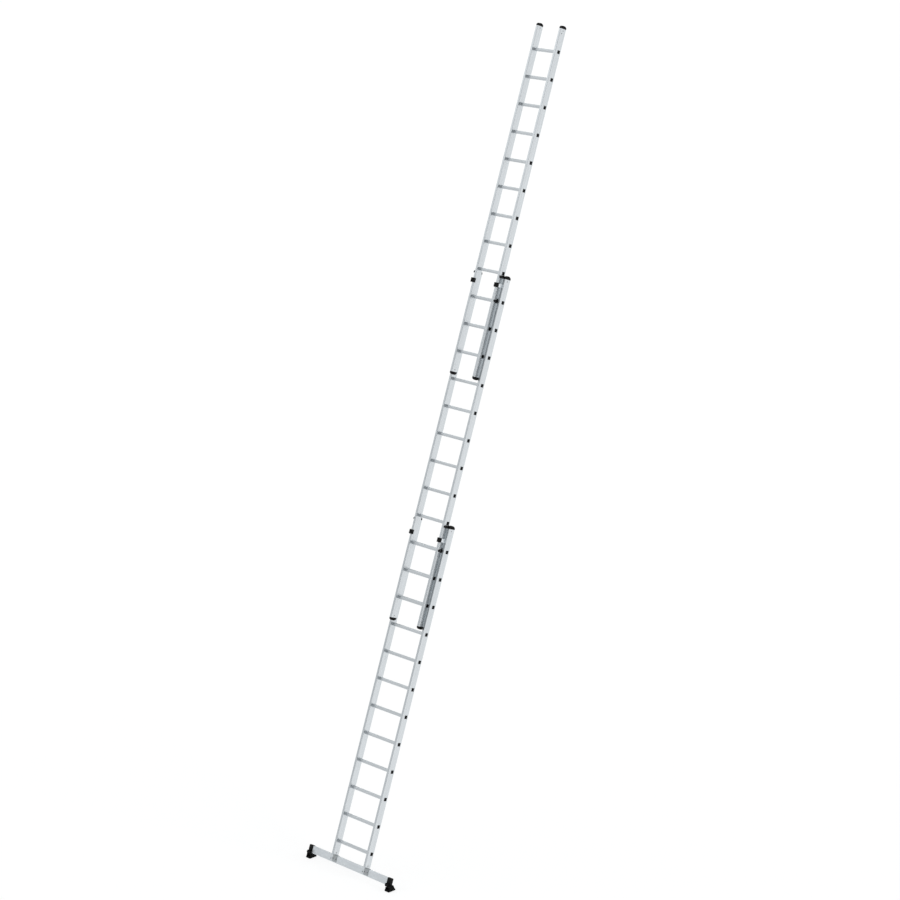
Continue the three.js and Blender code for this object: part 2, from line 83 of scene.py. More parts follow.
def rounded_outline(width, height, radius, steps=4, centre=(0, 0)):
    """Rectangle with rounded corners as a list of (u, v), anticlockwise."""
    points = []
    cu, cv = width / 2 - radius, height / 2 - radius
    for k, (su, sv) in enumerate([(1, 1), (-1, 1), (-1, -1), (1, -1)]):
        for i in range(steps + 1):
            a = math.pi / 2 * (k + i / steps)
            points.append((centre[0] + su * cu + radius * math.cos(a),
                           centre[1] + sv * cv + radius * math.sin(a)))
    return points


def circle(radius, steps=24, centre=(0, 0)):
    turns = [2 * math.pi * i / steps for i in range(steps)]
    return [(centre[0] + radius * math.cos(a), centre[1] + radius * math.sin(a)) for a in turns]


# From an outline's (u, v) and the height w along the axis to (x, y, z).
AXES = {"x": lambda u, v, w: (w, u, v), "y": lambda u, v, w: (v, w, u),
        "z": lambda u, v, w: (u, v, w)}
MERGE = 1e-6


def loft(bm, rings, axis, holes=None):
    """Closed body through rings of equal length, each (outline, height along axis).

    With holes, a list like rings, it is a tube with that bore.
    """
    to_xyz = AXES[axis]

    def walls(loops, inward):
        made = [[bm.verts.new(to_xyz(u, v, w)) for u, v in outline] for outline, w in loops]
        count = len(made[0])
        for a, b in zip(made, made[1:]):
            for i in range(count):
                j = (i + 1) % count
                quad = (a[i], a[j], b[j], b[i])
                bm.faces.new(reversed(quad) if inward else quad)
        return made

    outer = walls(rings, False)
    if holes is None:
        bm.faces.new(reversed(outer[0]))
        bm.faces.new(outer[-1])
        return
    inner = walls(holes, True)
    for ends, turned in ((0, True), (-1, False)):
        a, b = outer[ends], inner[ends]
        count = len(a)
        for i in range(count):
            j = (i + 1) % count
            quad = (a[i], a[j], b[j], b[i])
            bm.faces.new(reversed(quad) if turned else quad)


def scaled(outline, inset):
    """The outline with each point moved towards the centre by inset."""
    cu = sum(p[0] for p in outline) / len(outline)
    cv = sum(p[1] for p in outline) / len(outline)
    moved = []
    for u, v in outline:
        d = math.hypot(u - cu, v - cv)
        k = max(0.0, 1 - inset / d) if d else 0
        moved.append((cu + (u - cu) * k, cv + (v - cv) * k))
    return moved


def pillow(bm, outline, axis, a, b, edge, steps=3):
    """Prism from a to b along an axis, with the far end's edge rounded."""
    sign = 1 if b > a else -1
    rings = [(outline, a)]
    for i in range(steps + 1):
        t = math.pi / 2 * i / steps
        rings.append((scaled(outline, edge * (1 - math.cos(t))),
                      b - sign * edge * (1 - math.sin(t))))
    if sign < 0:
        rings.reverse()
    loft(bm, rings, axis)


def finish_mesh(name, bm, matrix, material, body, replaced=(), smooth=35):
    """Turns the bmesh into a piece that rides on a body."""
    bmesh.ops.remove_doubles(bm, verts=bm.verts, dist=MERGE)
    bmesh.ops.recalc_face_normals(bm, faces=bm.faces)
    mesh = bpy.data.meshes.new(name)
    bm.to_mesh(mesh)
    bm.free()
    mesh.transform(matrix)
    for polygon in mesh.polygons:
        polygon.use_smooth = True
    mesh.set_sharp_from_angle(angle=math.radians(smooth))
    mesh.materials.append(material)
    piece = bpy.data.objects.new(name, mesh)
    bpy.context.scene.collection.objects.link(piece)
    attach(piece, body)
    if replaced:
        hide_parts(*replaced)
    return piece


def bevelled(bm, width, segments=2, angle=30):
    """Rounds every edge sharper than the angle."""
    bmesh.ops.remove_doubles(bm, verts=bm.verts, dist=MERGE)
    bmesh.ops.dissolve_limit(bm, angle_limit=math.radians(1), verts=bm.verts, edges=bm.edges)
    edges = [e for e in bm.edges
             if len(e.link_faces) == 2 and e.calc_face_angle(0) > math.radians(angle)]
    bmesh.ops.bevel(bm, geom=edges, offset=width, segments=segments, affect="EDGES",
                    clamp_overlap=True, profile=0.5)


# ---------------------------------------------------------------- materials


class Nodes:
    """Short way to write a node tree."""

    def __init__(self, name):
        self.material = bpy.data.materials.new(name)
        self.material.use_nodes = True
        self.tree = self.material.node_tree
        self.shader = self.tree.nodes["Principled BSDF"]

    def add(self, kind, inputs=None, **settings):
        node = self.tree.nodes.new(kind)
        for key, value in settings.items():
            setattr(node, key, value)
        for key, value in (inputs or {}).items():
            self.feed(node.inputs[key], value)
        return node

    def feed(self, socket, value):
        if isinstance(value, bpy.types.NodeSocket):
            self.tree.links.new(value, socket)
        else:
            socket.default_value = value

    def coordinates(self, scale):
        """Object coordinates turned so that Z runs up the stringers."""
        place = self.add("ShaderNodeTexCoord").outputs["Object"]
        turned = self.add("ShaderNodeMapping", {"Vector": place, "Rotation": (LEAN, 0, 0)})
        return self.add("ShaderNodeMapping", {"Vector": turned.outputs[0], "Scale": scale}
                        ).outputs[0]

    def noise(self, vector, scale, detail=3.0, roughness=0.55):
        return self.add("ShaderNodeTexNoise", {
            "Vector": vector, "Scale": scale, "Detail": detail, "Roughness": roughness,
        }).outputs["Fac"]

    def ramp(self, value, stops):
        node = self.add("ShaderNodeValToRGB", {"Fac": value})
        ramp = node.color_ramp
        while len(ramp.elements) < len(stops):
            ramp.elements.new(0.5)
        for element, (place, colour) in zip(ramp.elements, stops):
            element.position = place
            element.color = colour if len(colour) == 4 else (*colour, 1)
        return node.outputs["Color"]

    def mix(self, amount, a, b, blend="MIX"):
        node = self.add("ShaderNodeMix", data_type="RGBA", blend_type=blend)
        self.feed(node.inputs[0], amount)
        self.feed(node.inputs[6], a)
        self.feed(node.inputs[7], b)
        return node.outputs[2]

    def math(self, operation, a, b=0.0):
        node = self.add("ShaderNodeMath", operation=operation)
        self.feed(node.inputs[0], a)
        self.feed(node.inputs[1], b)
        return node.outputs[0]

    def spread(self, value, low, high):
        """Maps 0..1 to low..high."""
        return self.add("ShaderNodeMapRange", {
            "Value": value, "To Min": low, "To Max": high}).outputs[0]

    def bump(self, height, strength, distance, normal=None):
        inputs = {"Height": height, "Strength": strength, "Distance": distance}
        if normal is not None:
            inputs["Normal"] = normal
        return self.add("ShaderNodeBump", inputs).outputs[0]

    def done(self, colour, roughness, normal, **constant):
        self.feed(self.shader.inputs["Base Color"], colour)
        self.feed(self.shader.inputs["Roughness"], roughness)
        self.feed(self.shader.inputs["Normal"], normal)
        for key, value in constant.items():
            self.shader.inputs[key.replace("_", " ")].default_value = value
        return self.material


def grey(value, tint=(1.0, 1.0, 1.0)):
    return tuple(value * t for t in tint) + (1,)


COOL = (0.953, 0.998, 1.030)
FAINT_BLUE = (0.97, 0.98, 1.04)

# Scales of the patterns, in features for each metre.
DIE_LINES = {"across": 420.0, "along": 1.6}
DIE_BANDS = {"across": 60.0, "along": 0.5}
OXIDE_CLOUDS = 5.5
PITS = 900.0
SCUFFS = (26, 26, 9)
DUST_CLOUDS = 38.0
RUBBED_SPOTS = 160.0
BRUSHING = (30, 900, 30)
SPANGLE = 260.0
DULL_BLOTCHES = 48.0
RUBBER_GRAIN = 700.0
RUBBER_DUST = 70.0


def stretched(scale, along):
    """Scales for X, Y and Z of a pattern that is drawn out along one axis."""
    return tuple(scale["along" if axis == along else "across"] for axis in "xyz")


def aluminium(name, along, level, contrast=0.07, metallic=0.9, rough=(0.30, 0.46)):
    """Extruded aluminium: die lines along one axis, cloudy oxide, fine pits and scuffs."""
    n = Nodes(name)
    lines = n.noise(n.coordinates(stretched(DIE_LINES, along)), 1.0, 2.0)
    bands = n.noise(n.coordinates(stretched(DIE_BANDS, along)), 1.0, 2.0)
    plain = n.coordinates((1, 1, 1))
    clouds = n.noise(plain, OXIDE_CLOUDS, 4.0)
    pits = n.noise(plain, PITS, 2.0, 0.7)
    scuff = n.ramp(n.noise(n.coordinates(SCUFFS), 1.0, 6.0, 0.75),
                   [(0.60, (0, 0, 0)), (0.72, (1, 1, 1))])
    mixed = n.math("ADD", n.math("MULTIPLY", lines, 0.45), n.math("MULTIPLY", bands, 0.55))
    low, high = level * (1 - contrast), level * (1 + contrast)
    streaked = n.ramp(mixed, [(0.33, grey(low, COOL)), (0.67, grey(high, COOL))])
    clouded = n.mix(n.spread(clouds, 0.0, 0.35), streaked, grey(level * 0.90, COOL))
    colour = n.mix(n.math("MULTIPLY", scuff, 0.22), clouded, grey(level * 0.80))
    roughness = n.math("ADD", n.spread(lines, rough[0], rough[1]),
                       n.math("MULTIPLY", scuff, 0.10))
    normal = n.bump(lines, 0.22, 0.0004)
    normal = n.bump(pits, 0.10, 0.0002, normal)
    return n.done(colour, roughness, normal, Metallic=metallic)


def plastic(name, level, rough=(0.42, 0.60), grain=1400.0, bump=0.25):
    """Black moulded plastic: fine spark-eroded grain, faint dust and pale rubbed patches."""
    n = Nodes(name)
    plain = n.coordinates((1, 1, 1))
    texture = n.noise(plain, grain, 2.0, 0.6)
    clouds = n.noise(plain, DUST_CLOUDS, 4.0, 0.6)
    rubs = n.ramp(n.noise(plain, RUBBED_SPOTS, 6.0, 0.8),
                  [(0.58, (0, 0, 0)), (0.74, (1, 1, 1))])
    base = n.ramp(clouds, [(0.3, grey(level * 0.8, FAINT_BLUE)),
                           (0.7, grey(level * 1.5, (0.98, 0.99, 1.03)))])
    colour = n.mix(n.math("MULTIPLY", rubs, 0.16), base, grey(level * 4.0))
    roughness = n.spread(clouds, rough[0], rough[1])
    return n.done(colour, roughness, n.bump(texture, bump, 0.0003), Specular_IOR_Level=0.12)


def plated_steel(name, level, metallic=0.85):
    """Zinc-plated or burnished sheet: spangle, brushed lines and dull patches."""
    n = Nodes(name)
    plain = n.coordinates((1, 1, 1))
    brushed = n.noise(n.coordinates(BRUSHING), 1.0, 2.0)
    spangle = n.add("ShaderNodeTexVoronoi", {"Vector": plain, "Scale": SPANGLE}).outputs["Color"]
    blotch = n.noise(plain, DULL_BLOTCHES, 5.0, 0.65)
    base = n.ramp(blotch, [(0.3, grey(level * 0.86, COOL)), (0.7, grey(level * 1.12, COOL))])
    colour = n.mix(0.10, base, spangle, "OVERLAY")
    roughness = n.spread(brushed, 0.32, 0.50)
    return n.done(colour, roughness, n.bump(brushed, 0.18, 0.0003), Metallic=metallic)


def rubber(name, level):
    """Matt rubber: soft grain and pale dust in patches."""
    n = Nodes(name)
    plain = n.coordinates((1, 1, 1))
    grain = n.noise(plain, RUBBER_GRAIN, 3.0, 0.7)
    dust = n.ramp(n.noise(plain, RUBBER_DUST, 6.0, 0.7), [(0.5, (0, 0, 0)), (0.8, (1, 1, 1))])
    colour = n.mix(n.math("MULTIPLY", dust, 0.22), grey(level),
                   grey(level * 5.0, (1.03, 1, 0.96)))
    return n.done(colour, n.spread(grain, 0.70, 0.92), n.bump(grain, 0.4, 0.0004),
                  Specular_IOR_Level=0.1)


STRINGER_LOOK = aluminium("stringer_look", "z", 0.71, rough=(0.19, 0.30))
RUNG_LOOK = aluminium("rung_look", "x", 0.65, contrast=0.09, rough=(0.34, 0.5))
TRAVERSE_LOOK = aluminium("traverse_look", "x", 0.74)
FITTING_LOOK = aluminium("fitting_look", "y", 0.80, contrast=0.04)
SADDLE_LOOK = plated_steel("saddle_look", 0.42)
TAB_LOOK = plated_steel("tab_look", 0.62)
PLASTIC_LOOK = plastic("plastic_look", 0.003)
PLUG_LOOK = plastic("plug_look", 0.0018, rough=(0.5, 0.66))
HOOK_LOOK = plated_steel("hook_look", 0.05)
RIVET_LOOK = plated_steel("rivet_look", 0.10)
ARM_LOOK = aluminium("arm_look", "z", 0.92, contrast=0.03, metallic=0.35)
RUBBER_LOOK = rubber("rubber_look", 0.0035)


# ---------------------------------------------------------------- carried-over CAD nodes


MOULDED_EDGE = 0.0012
WELD_DISTANCE = 1e-5
EDGE_SEGMENTS = 3
EDGE_ANGLE = math.radians(40)


def dress(node, material, bevel=None):
    """Gives a CAD node its finish and, for moulded parts, rounded edges."""
    piece = nodes[node]
    piece.data.materials.clear()
    piece.data.materials.append(material)
    if bevel:
        weld = piece.modifiers.new("weld", "WELD")
        weld.merge_threshold = WELD_DISTANCE
        edge = piece.modifiers.new("edge", "BEVEL")
        edge.width = bevel
        edge.segments = EDGE_SEGMENTS
        edge.limit_method = "ANGLE"
        edge.angle_limit = EDGE_ANGLE
        edge.harden_normals = False
        piece.modifiers.new("normals", "WEIGHTED_NORMAL").keep_sharp = True


for section in SECTIONS:
    for side, _ in SIDES:
        dress(f"{section}_{side}_stringer", STRINGER_LOOK)
for section in SECTIONS[:2]:
    for side, _ in SIDES:
        dress(f"{section}_{side}_guide_cap", PLASTIC_LOOK, MOULDED_EDGE)
for side, _ in SIDES:
    dress(f"{side}_foot_holder", PLASTIC_LOOK, MOULDED_EDGE)
    dress(f"{side}_foot_sole", RUBBER_LOOK, MOULDED_EDGE)

# ---------------------------------------------------------------- rungs

TREAD_RIBS = 7
TREAD_DEPTH = 0.0006
TREAD_SLOPE = 0.12  # half of a rib's flank, as a share of its width
RUNG_CORNER = 0.0025
RUNG_CORNER_STEPS = 4
RUNG_WALL = 0.0018


def rung_outline():
    """Square tube with anti-slip ribs on its top and bottom faces, as (y, z)."""
    half = RUNG / 2
    flat = half - RUNG_CORNER
    step = 2 * flat / (2 * TREAD_RIBS + 1)
    top = []
    for i in range(1, 2 * TREAD_RIBS + 1):
        y = flat - i * step
        before, after = (0, TREAD_DEPTH) if i % 2 else (TREAD_DEPTH, 0)
        top += [(y + step * TREAD_SLOPE, half - before), (y - step * TREAD_SLOPE, half - after)]
    turns = [math.pi / 2 * i / RUNG_CORNER_STEPS for i in range(RUNG_CORNER_STEPS + 1)]
    rear = [(flat + RUNG_CORNER * math.cos(a), flat + RUNG_CORNER * math.sin(a)) for a in turns]
    front = [(-flat - RUNG_CORNER * math.sin(a), flat + RUNG_CORNER * math.cos(a)) for a in turns]
    upper = rear + top + front
    return upper + [(-y, -z) for y, z in upper]


def bore_of(outside, half_y, half_z, centre=(0, 0)):
    """Rectangular bore of a tube, with a point for each one of the outside."""
    bore = []
    for y, z in outside:
        dy, dz = y - centre[0], z - centre[1]
        k = 1 / max(abs(dy) / half_y, abs(dz) / half_z)
        bore.append((centre[0] + dy * k, centre[1] + dz * k))
    return bore


def tube(bm, outside, bore, half_length):
    """Tube along X from -half_length to half_length."""
    loft(bm, [(outside, -half_length), (outside, half_length)], "x",
         [(bore, -half_length), (bore, half_length)])


rung_outside = rung_outline()
rung_inside = bore_of(rung_outside, RUNG / 2 - RUNG_WALL, RUNG / 2 - RUNG_WALL)
for section, name in enumerate(SECTIONS):
    for i in range(RUNGS):
        node = f"{name}_rung_{i + 1:02d}"
        bm = bmesh.new()
        tube(bm, rung_outside, rung_inside, WIDTHS[section] / 2 - GAP)
        lifted = section_matrix(section) @ Matrix.Translation((0, 0, i * PITCH))
        finish_mesh(f"{node}_tube", bm, lifted, RUNG_LOOK, f"{name}_section",
                    [node], smooth=25)

# ---------------------------------------------------------------- plugs, collars, rivets, end caps

PLUG_SIZE = 0.0262
PLUG_FLANGE = 0.0350
PLUG_RISE = 0.0022
PLUG_DEPTH = 0.016
RIVET_RADIUS = 0.0048
RIVET_RISE = 0.0016
RIVET_INSET = 0.021  # from a stringer's end
EXTRA_RIVET = (-0.012, -0.048)  # (y, z) from the middle of the top stringers' upper ends
CAP_EDGE = 0.008
CAP_RISE = 0.030
CAP_PLUG = 0.020
CAP_ROUNDING = 0.0022
CAP_BITE = 0.002  # how far the plug runs into the cap
DOME_STEPS = 22

# Flared rings of the rungs. Each level is (inset from the size, height above the wall).
COLLAR = {"size": 0.0355, "corner": 0.0045, "bore": RUNG + 2 * GAP, "bore_corner": 0.0028,
          "levels": [(0, 0), (0, 0.00066), (0.0006, 0.00108), (0.0014, 0.0012)]}
RIM = {"size": 0.0385, "corner": 0.004, "bore": PLUG_FLANGE + GAP, "bore_corner": 0.0035,
       "levels": [(0, 0), (0, 0.00045), (0.0005, 0.0009), (0.0010, 0.0009)]}


def flared_ring(bm, x, sign, z, ring):
    """Raised ring round a rung on a stringer's wall: COLLAR inside, RIM on the outer face."""
    shapes = []
    for inset, lift in ring["levels"]:
        side = ring["size"] - 2 * inset
        outline = rounded_outline(side, side, ring["corner"], 3, (0, z))
        shapes.append((outline, x + sign * lift))
    bore = rounded_outline(ring["bore"], ring["bore"], ring["bore_corner"], 3, (0, z))
    holes = [(bore, w) for _, w in shapes]
    if sign < 0:
        shapes.reverse()
        holes.reverse()
    loft(bm, shapes, "x", holes)


def rung_plug(bm, x, sign, z):
    """Plug pressed into the rung's end: a rounded flange with a shallow dish in it."""
    stem = rounded_outline(PLUG_SIZE, PLUG_SIZE, 0.0030, 4, (0, z))
    flange = rounded_outline(PLUG_FLANGE, PLUG_FLANGE, 0.0045, 4, (0, z))
    levels = [(stem, 0.0, -PLUG_DEPTH), (stem, 0.0, GAP), (flange, 0.0, GAP),
              (flange, 0.0, PLUG_RISE * 0.5), (flange, 0.0005, PLUG_RISE * 0.85),
              (flange, 0.0014, PLUG_RISE), (flange, 0.0050, PLUG_RISE),
              (flange, 0.0062, PLUG_RISE * 0.6), (flange, 0.0090, PLUG_RISE * 0.5)]
    rings = [(scaled(outline, inset), x + sign * lift) for outline, inset, lift in levels]
    if sign < 0:
        rings.reverse()
    loft(bm, rings, "x")


def rivet(bm, axis, centre, at, sign, radius=RIVET_RADIUS, rise=RIVET_RISE):
    """Domed rivet head that stands on a face; centre is its place across the axis."""
    levels = [(1.0, 0.0), (1.0, 0.25), (0.9, 0.62), (0.68, 0.88), (0.36, 1.0)]
    rings = [(circle(radius * k, 20, centre), at + sign * rise * h) for k, h in levels]
    if sign < 0:
        rings.reverse()
    loft(bm, rings, axis)


def dome_outline(up):
    """End cap seen from the side, as (y, z) from the stringer's end."""
    half = (STRINGER_REAR - STRINGER_FRONT) / 2
    points = [(STRINGER_FRONT, 0), (STRINGER_REAR, 0), (STRINGER_REAR, CAP_EDGE)]
    for i in range(1, DOME_STEPS):
        a = math.pi * i / DOME_STEPS
        points.append((STRINGER_MID + half * math.cos(a),
                       CAP_EDGE + (CAP_RISE - CAP_EDGE) * math.sin(a)))
    points.append((STRINGER_FRONT, CAP_EDGE))
    return [(y, z * up) for y, z in points]


def end_cap(bm, x, end, up):
    """Cap with rounded edges on a stringer's end, and the block that sits in the stringer."""
    outline = dome_outline(up)
    if up < 0:
        outline.reverse()
    outline = [(y, z + end + up * GAP) for y, z in outline]
    half = STRINGER_X / 2
    part = bmesh.new()
    loft(part, [(outline, x - half), (outline, x + half)], "x")
    bevelled(part, CAP_ROUNDING, 3)
    inset = STRINGER_WALL + GAP
    block = rounded_outline(STRINGER_X - 2 * inset, STRINGER_REAR - STRINGER_FRONT - 2 * inset,
                            0.001, 2, (x, STRINGER_MID))
    lower, upper = sorted((end - up * CAP_PLUG, end + up * CAP_BITE))
    loft(part, [(block, lower), (block, upper)], "z")
    mesh = bpy.data.meshes.new("part")
    part.to_mesh(mesh)
    part.free()
    bm.from_mesh(mesh)
    bpy.data.meshes.remove(mesh)


for section, name in enumerate(SECTIONS):
    matrix = section_matrix(section)
    body = f"{name}_section"
    lowest = STRINGER_BOTTOM if section else BASE_BOTTOM
    rivets = bmesh.new()
    for side, sign in SIDES:
        outer = sign * WIDTHS[section] / 2
        inner = outer - sign * STRINGER_X
        middle = (outer + inner) / 2
        collars, plugs = bmesh.new(), bmesh.new()
        for i in range(RUNGS):
            flared_ring(collars, inner, -sign, i * PITCH, COLLAR)
            flared_ring(collars, outer, sign, i * PITCH, RIM)
            rung_plug(plugs, outer - sign * GAP, sign, i * PITCH)
        finish_mesh(f"{name}_{side}_rung_collars", collars, matrix, FITTING_LOOK, body)
        finish_mesh(f"{name}_{side}_rung_plugs", plugs, matrix, PLUG_LOOK, body)
        for z in (lowest + RIVET_INSET, STRINGER_TOP - RIVET_INSET):
            for face, way in ((outer, sign), (inner, -sign)):
                rivet(rivets, "x", (STRINGER_MID, z), face, way)
        if name == "top":
            rivet(rivets, "x", (STRINGER_MID + EXTRA_RIVET[0], STRINGER_TOP + EXTRA_RIVET[1]),
                  outer, sign)
            top = bmesh.new()
            end_cap(top, middle, STRINGER_TOP, 1)
            finish_mesh(f"{name}_{side}_top_cap", top, matrix, PLASTIC_LOOK, body)
        if section:
            low = bmesh.new()
            end_cap(low, middle, STRINGER_BOTTOM, -1)
            finish_mesh(f"{name}_{side}_bottom_cap", low, matrix, PLASTIC_LOOK, body)
    finish_mesh(f"{name}_rivets", rivets, matrix, RIVET_LOOK, body)

# ---------------------------------------------------------------- guides

GUIDE_HEIGHTS = [0.104, 0.157]  # above the last rung
SHOE_HALF = 0.0225
SHOE_FRONT = 0.012
SHOE_INSIDE = 0.006
SHOE_REACH = 0.012
ARM_THICK = 0.004
ARM_HALF = 0.018
ARM_SEAT = 0.042
RUNNING = 0.0006  # clearance round the sliding stringer
SHOE_ROUNDING = 0.0014
ARM_ROUNDING = 0.0008
SHOE_SCREW = (0.0048, 0.0014)  # radius and rise of the heads
ARM_RIVET = (0.0034, 0.0014)
# As (y, z), with y from the stringer's front face.
ARM_RIVET_PLACES = [(0.012, -0.009), (0.012, 0.009), (0.030, -0.009), (0.030, 0.009)]


def mirrored(points, sign):
    """(x, y) outline for the left or the right side, anticlockwise."""
    moved = [(sign * x, y) for x, y in points]
    return moved if sign > 0 else moved[::-1]


for section, name in enumerate(SECTIONS[:2]):
    matrix = section_matrix(section) @ Matrix.Translation(
        (0, 0, LAST_RUNG + GUIDE_HEIGHTS[section]))
    body = f"{name}_section"
    out = WIDTHS[section + 1] / 2
    inside = out - STRINGER_X
    arm_out = WIDTHS[section] / 2 - STRINGER_X - GAP
    front = STRINGER_FRONT - SPACING
    back = front + SHOE_REACH
    for side, sign in SIDES:
        shoe = [(inside - RUNNING - SHOE_INSIDE, front - RUNNING - SHOE_FRONT),
                (arm_out, front - RUNNING - SHOE_FRONT), (arm_out, back),
                (out + RUNNING, back), (out + RUNNING, front - RUNNING),
                (inside - RUNNING, front - RUNNING), (inside - RUNNING, back),
                (inside - RUNNING - SHOE_INSIDE, back)]
        bm = bmesh.new()
        outline = mirrored(shoe, sign)
        loft(bm, [(outline, -SHOE_HALF), (outline, SHOE_HALF)], "z")
        bevelled(bm, SHOE_ROUNDING, 3)
        rivet(bm, "y", (0, sign * (inside + STRINGER_X / 2)), front - RUNNING - SHOE_FRONT, -1,
              *SHOE_SCREW)
        finish_mesh(f"{name}_{side}_guide_shoe", bm, matrix, PLASTIC_LOOK, body,
                    [f"{name}_{side}_guide"])
        arm = [(arm_out - ARM_THICK, back + SEAM), (arm_out, back + SEAM),
               (arm_out, STRINGER_FRONT + ARM_SEAT),
               (arm_out - ARM_THICK, STRINGER_FRONT + ARM_SEAT)]
        bm = bmesh.new()
        outline = mirrored(arm, sign)
        loft(bm, [(outline, -ARM_HALF), (outline, ARM_HALF)], "z")
        bevelled(bm, ARM_ROUNDING, 2)
        for y, z in ARM_RIVET_PLACES:
            rivet(bm, "x", (STRINGER_FRONT + y, z), sign * (arm_out - ARM_THICK), -sign,
                  *ARM_RIVET)
        finish_mesh(f"{name}_{side}_guide_arm", bm, matrix, ARM_LOOK, body)

# ---------------------------------------------------------------- locking hooks

HOOK_RUNG = 3  # counted from below
HOOK_PIVOT = 0.022  # behind the stringer's front face
HOOK_OFFSET = 0.0028  # outside the stringer's outer face
HOOK_PLATE = 0.0035
HOOK_BOSS = 0.013
HOOK_BOSS_STEPS = 12
HOOK_HEEL = 0.006
HOOK_REST = 0.022
HOOK_NOSE = 0.014
HOOK_ROUNDING = 0.0006
HOOK_PIN_RADIUS = 0.004
HOOK_PIN_DEPTH = 0.007
HOOK_PIN_BITE = 0.001  # how far the pin runs into the plate
HOOK_HEAD = (0.0080, 0.0015)  # radius and rise
PAD_REACH = 0.0092
PAD_DEPTH = 0.022
PAD_HEIGHT = 0.024
PAD_MIDDLE = 0.028
PAD_CORNER = 0.004
PAD_ROUNDING = 0.0012


def hook_outline():
    """Hook plate seen from the side, as (y, z) about its pivot."""
    rung_front = SPACING - STRINGER_FRONT - HOOK_PIVOT - RUNG / 2
    rung_top = RUNG / 2 + GAP
    heel = rung_front - HOOK_HEEL
    tip = rung_front + HOOK_REST
    crown = rung_top + HOOK_NOSE
    points = [(0, -HOOK_BOSS), (heel - HOOK_BOSS, -HOOK_BOSS), (heel, -HOOK_HEEL),
              (heel, rung_top), (tip, rung_top), (tip, crown - HOOK_HEEL),
              (tip - HOOK_HEEL, crown), (heel - HOOK_BOSS, crown), (HOOK_BOSS, HOOK_BOSS),
              (0, HOOK_BOSS)]
    for i in range(1, HOOK_BOSS_STEPS):
        a = math.pi * (0.5 + i / HOOK_BOSS_STEPS)
        points.append((HOOK_BOSS * math.cos(a), HOOK_BOSS * math.sin(a)))
    return points


for section, name in list(enumerate(SECTIONS))[1:]:
    for side, sign in SIDES:
        place = section_matrix(section) @ Matrix.Translation((
            sign * WIDTHS[section] / 2, HOOK_PIVOT + STRINGER_FRONT, (HOOK_RUNG - 1) * PITCH))
        body = f"{name}_{side}_hook"
        near = sign * (HOOK_OFFSET + HOOK_PLATE)
        bm = bmesh.new()
        loft(bm, [(hook_outline(), x) for x in sorted((sign * HOOK_OFFSET, near))], "x")
        bevelled(bm, HOOK_ROUNDING, 2)
        pin = sorted((-sign * HOOK_PIN_DEPTH, sign * (HOOK_OFFSET + HOOK_PIN_BITE)))
        loft(bm, [(circle(HOOK_PIN_RADIUS), x) for x in pin], "x")
        finish_mesh(f"{name}_{side}_hook_plate", bm, place, HOOK_LOOK, body,
                    [f"{name}_{side}_hook"])
        pad = rounded_outline(PAD_DEPTH, PAD_HEIGHT, PAD_CORNER, 4, (PAD_MIDDLE, 0))
        bm = bmesh.new()
        pillow(bm, pad, "x", near, sign * PAD_REACH, PAD_ROUNDING)
        rivet(bm, "x", (0, 0), near, sign, *HOOK_HEAD)
        finish_mesh(f"{name}_{side}_hook_pad", bm, place, PLASTIC_LOOK, body)

# ---------------------------------------------------------------- traverse, saddles, screws

TRAVERSE_LENGTH = 1.200  # over the foot holders
BAR_FRONT = -0.016
BAR_DEPTH = 0.025
BAR_HEIGHT = 0.075
BAR_WALL = 0.0025
BAR_TOP = -0.146
BAR_MID_Y = BAR_FRONT + BAR_DEPTH / 2
BAR_MID_Z = BAR_TOP - BAR_HEIGHT / 2
BAR_CORNER = 0.003
HOLDER_WALL = 0.004
BAR_END = TRAVERSE_LENGTH / 2 - HOLDER_WALL - GAP
SHEET = 0.003
SADDLE_HALF = 0.031
SADDLE_LIFT = 0.008  # lower edges above the bar's
SADDLE_SHIFT = 0.0135  # from the stringer's centre
SADDLE_ROUNDING = 0.0013
SADDLE_BOLT = (0.0052, 0.0022)  # radius and rise of the heads
SADDLE_BOLT_HALF = 0.020  # half the distance between the bolts
TAB = 0.028
TAB_HALF = 0.012
TAB_DROP = 0.008
TAB_BITE = 0.004  # how far the tab runs under the saddle
TAB_RIVET = (0.004, 0.0018)
TAB_RIVET_INSET = 0.010
TONGUE = 0.060

GROOVES = 5
GROOVE_HALF = 0.0011
GROOVE_DEPTH = 0.0006
GROOVE_MARGIN = 0.006  # bar's edge to the first groove


def bar_outline():
    """Bar seen from its end, as (y, z), with grooves along its front and rear faces."""
    plain = rounded_outline(BAR_DEPTH, BAR_HEIGHT, BAR_CORNER, 5)
    upper, lower = plain[:len(plain) // 2], plain[len(plain) // 2:]
    span = BAR_HEIGHT - 2 * GROOVE_MARGIN
    centres = [span * (i / (GROOVES - 1) - 0.5) for i in range(GROOVES)]
    rear, front = [], []
    for z in centres:
        for dz, depth in ((-GROOVE_HALF, 0), (-GROOVE_HALF / 2, GROOVE_DEPTH),
                          (GROOVE_HALF / 2, GROOVE_DEPTH), (GROOVE_HALF, 0)):
            rear.append((BAR_DEPTH / 2 - depth, z + dz))
            front.append((depth - BAR_DEPTH / 2, -z - dz))
    return [(BAR_MID_Y + y, BAR_MID_Z + z) for y, z in upper + front + lower + rear]


ground = section_matrix(0)
bm = bmesh.new()
bar_outside = bar_outline()
bar_inside = bore_of(bar_outside, BAR_DEPTH / 2 - BAR_WALL, BAR_HEIGHT / 2 - BAR_WALL,
                     (BAR_MID_Y, BAR_MID_Z))
tube(bm, bar_outside, bar_inside, BAR_END)
finish_mesh("traverse_bar", bm, ground, TRAVERSE_LOOK, "bottom_section",
            ["traverse"])

